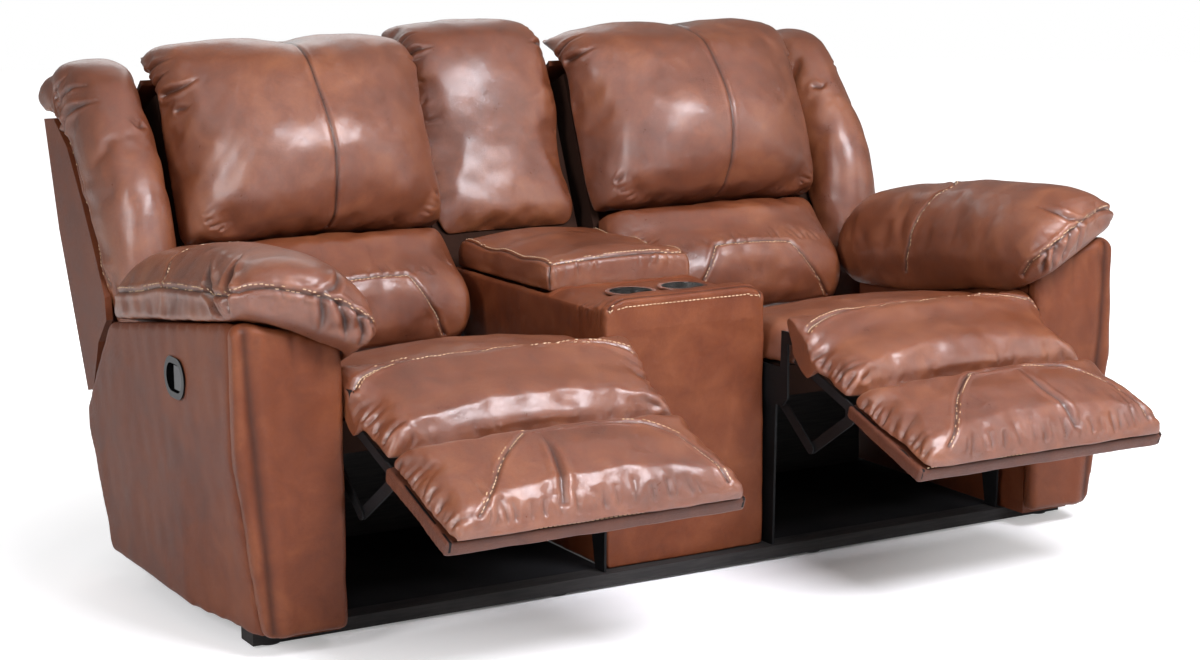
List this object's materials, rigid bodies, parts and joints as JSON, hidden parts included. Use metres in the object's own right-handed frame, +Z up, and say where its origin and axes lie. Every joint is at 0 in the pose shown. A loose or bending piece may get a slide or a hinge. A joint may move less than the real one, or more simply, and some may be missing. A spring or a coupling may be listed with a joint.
{
  "type": "reclining loveseat",
  "caption": "Reclining loveseat in saddle-brown leather with fold-down leg rests, leaning backs, recessed arm releases and a centre console with cup holders and a lidded bin.",
  "frame": {"origin": "centre of the outer box at floor level", "axes": "+X to the viewer's right, the front and the open leg rests face -Y, +Z up from the floor"},
  "size_m": [1.9774, 1.6318, 1.0515],
  "materials": {
    "leather_cover": "satin saddle-brown leather with a fine pebble grain and lighter worn patches",
    "leather_panel": "satin saddle-brown leather over board",
    "frame_board": "board covered in black cloth",
    "base_wood": "black-stained board",
    "spring_steel": "oiled spring wire",
    "mechanism_steel": "black enamelled pressed steel",
    "handle_plastic": "gloss black",
    "paddle_plastic": "gloss black",
    "cup_metal": "polished pressed steel",
    "hinge_steel": "zinc-plated",
    "dust_cloth": "thin black non-woven cloth",
    "glide_plastic": "matt black"
  },
  "bodies": {
    "base": {"base_rails": "base_wood", "dust_covers": "dust_cloth", "floor_glides": "glide_plastic", "console_box": "leather_panel", "console_front_panel": "leather_panel", "console_deck": "leather_panel", "cup_holders": "cup_metal", "console_back_frame": "frame_board", "console_back_cover": "leather_panel", "console_back_pad": "leather_cover", "console_hinge_base": "hinge_steel", "right_arm_frame": "frame_board", "right_side_panel": "leather_panel", "right_arm_front": "leather_panel", "right_arm_pad": "leather_cover", "right_release_bezel": "handle_plastic", "right_seat_box": "frame_board", "right_seat_springs": "spring_steel", "right_seat_cushion": "leather_cover", "right_mechanism_plates": "mechanism_steel", "left_arm_frame": "frame_board", "left_side_panel": "leather_panel", "left_arm_front": "leather_panel", "left_arm_pad": "leather_cover", "left_release_bezel": "handle_plastic", "left_seat_box": "frame_board", "left_seat_springs": "spring_steel", "left_seat_cushion": "leather_cover", "left_mechanism_plates": "mechanism_steel"},
    "right_leg_rest": {"right_footrest_board": "leather_panel", "right_leg_rest_brackets": "mechanism_steel", "right_calf_pad": "leather_cover", "right_footrest_pad": "leather_cover"},
    "right_rocker": {"right_rocker_links": "mechanism_steel"},
    "right_coupler": {"right_coupler_links": "mechanism_steel"},
    "right_back": {"right_back_brackets": "mechanism_steel", "right_back_frame": "frame_board", "right_back_springs": "spring_steel", "right_head_cushion": "leather_cover", "right_lumbar_cushion": "leather_cover", "right_wing_bolster": "leather_cover", "right_back_cover": "leather_panel"},
    "right_paddle": {"right_release_paddle": "paddle_plastic"},
    "left_leg_rest": {"left_footrest_board": "leather_panel", "left_leg_rest_brackets": "mechanism_steel", "left_calf_pad": "leather_cover", "left_footrest_pad": "leather_cover"},
    "left_rocker": {"left_rocker_links": "mechanism_steel"},
    "left_coupler": {"left_coupler_links": "mechanism_steel"},
    "left_back": {"left_back_brackets": "mechanism_steel", "left_back_frame": "frame_board", "left_back_springs": "spring_steel", "left_head_cushion": "leather_cover", "left_lumbar_cushion": "leather_cover", "left_wing_bolster": "leather_cover", "left_back_cover": "leather_panel"},
    "left_paddle": {"left_release_paddle": "paddle_plastic"},
    "console_lid": {"console_lid_board": "leather_panel", "console_lid_pad": "leather_cover", "console_hinge_lid": "hinge_steel"}
  },
  "joints": [
    {"name": "right_leg_rest_hinge", "type": "hinge", "parent": "base", "child": "right_leg_rest", "pos_m": [0.4815, -0.411, 0.465], "axis": [1, 0, 0], "range_deg": [0, 72]},
    {"name": "right_rocker_hinge", "type": "hinge", "parent": "base", "child": "right_rocker", "pos_m": [0.4815, -0.271, 0.375], "axis": [1, 0, 0], "range_deg": [0, 72]},
    {"name": "right_coupler_hinge", "type": "hinge", "parent": "right_leg_rest", "child": "right_coupler", "pos_m": [0.4815, -0.56941, 0.34313], "axis": [1, 0, 0], "range_deg": [-72, 0]},
    {"name": "right_recline_hinge", "type": "hinge", "parent": "base", "child": "right_back", "pos_m": [0.4815, 0.309, 0.38], "axis": [-1, 0, 0], "range_deg": [0, 30]},
    {"name": "right_release_hinge", "type": "hinge", "parent": "base", "child": "right_paddle", "pos_m": [0.976, -0.136, 0.466], "axis": [0, 0, -1], "range_deg": [0, 22], "stiffness_Nm_per_rad": 0.3},
    {"name": "left_leg_rest_hinge", "type": "hinge", "parent": "base", "child": "left_leg_rest", "pos_m": [-0.4815, -0.411, 0.465], "axis": [1, 0, 0], "range_deg": [0, 72]},
    {"name": "left_rocker_hinge", "type": "hinge", "parent": "base", "child": "left_rocker", "pos_m": [-0.4815, -0.271, 0.375], "axis": [1, 0, 0], "range_deg": [0, 72]},
    {"name": "left_coupler_hinge", "type": "hinge", "parent": "left_leg_rest", "child": "left_coupler", "pos_m": [-0.4815, -0.56941, 0.34313], "axis": [1, 0, 0], "range_deg": [-72, 0]},
    {"name": "left_recline_hinge", "type": "hinge", "parent": "base", "child": "left_back", "pos_m": [-0.4815, 0.309, 0.38], "axis": [-1, 0, 0], "range_deg": [0, 30]},
    {"name": "left_release_hinge", "type": "hinge", "parent": "base", "child": "left_paddle", "pos_m": [-0.976, -0.136, 0.466], "axis": [0, 0, 1], "range_deg": [0, 22], "stiffness_Nm_per_rad": 0.3},
    {"name": "console_lid_hinge", "type": "hinge", "parent": "base", "child": "console_lid", "pos_m": [0, 0.383, 0.546], "axis": [-1, 0, 0], "range_deg": [0, 75]}
  ],
  "couplings": [
    {"joint": "right_rocker_hinge", "follows": "right_leg_rest_hinge", "ratio": 1},
    {"joint": "right_coupler_hinge", "follows": "right_leg_rest_hinge", "ratio": -1},
    {"joint": "left_rocker_hinge", "follows": "left_leg_rest_hinge", "ratio": 1},
    {"joint": "left_coupler_hinge", "follows": "left_leg_rest_hinge", "ratio": -1}
  ]
}
